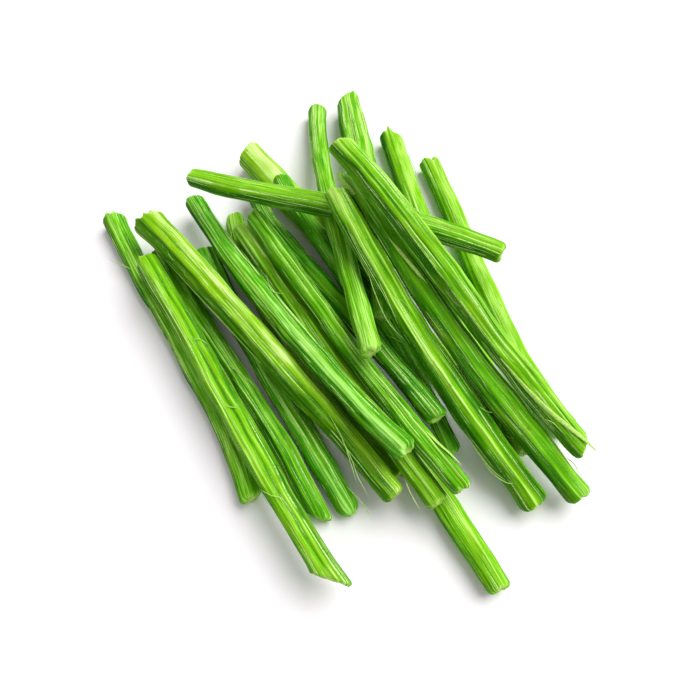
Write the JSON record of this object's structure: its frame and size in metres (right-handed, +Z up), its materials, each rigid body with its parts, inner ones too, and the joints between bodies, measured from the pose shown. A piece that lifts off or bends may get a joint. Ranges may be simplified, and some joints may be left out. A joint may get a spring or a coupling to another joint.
{
  "type": "bunch of moringa pods",
  "caption": "Loose heap of peeled, ribbed moringa pods cut to length, lying side by side and across each other as they would on a table.",
  "frame": {"origin": "middle of the heap's outline seen from above, on the surface that it lies on", "axes": "+Z up from the surface, which is the heap's shortest way; +Y towards the pods' far ends, +X to the right of someone facing that way"},
  "size_m": [0.2501, 0.2921, 0.074],
  "materials": {
    "grass_skin": "fresh peeled pod skin, grass green, satin",
    "lime_skin": "fresh peeled pod skin, lime green, satin",
    "pale_skin": "fresh peeled pod skin, pale yellow-green, satin",
    "olive_skin": "fresh peeled pod skin, olive green, satin",
    "emerald_skin": "fresh peeled pod skin, deep green, satin"
  },
  "bodies": {
    "root": {"left_outer_pod": "grass_skin", "pointed_low_pod": "grass_skin", "blunt_low_pod": "emerald_skin", "round_ended_pod": "olive_skin", "front_low_pod": "lime_skin", "thick_pale_pod": "pale_skin", "slim_back_pod": "emerald_skin", "dark_back_pod": "emerald_skin", "spiked_back_pod": "lime_skin", "right_outer_pod": "lime_skin", "tall_back_pod": "grass_skin", "long_left_pod": "lime_skin", "broad_pale_pod": "pale_skin", "olive_middle_pod": "olive_skin", "ridged_middle_pod": "grass_skin", "striped_dark_pod": "emerald_skin", "steep_slim_pod": "grass_skin", "crossing_pod": "lime_skin", "top_left_pod": "lime_skin", "top_middle_pod": "grass_skin", "top_right_pod": "lime_skin"}
  },
  "joints": []
}
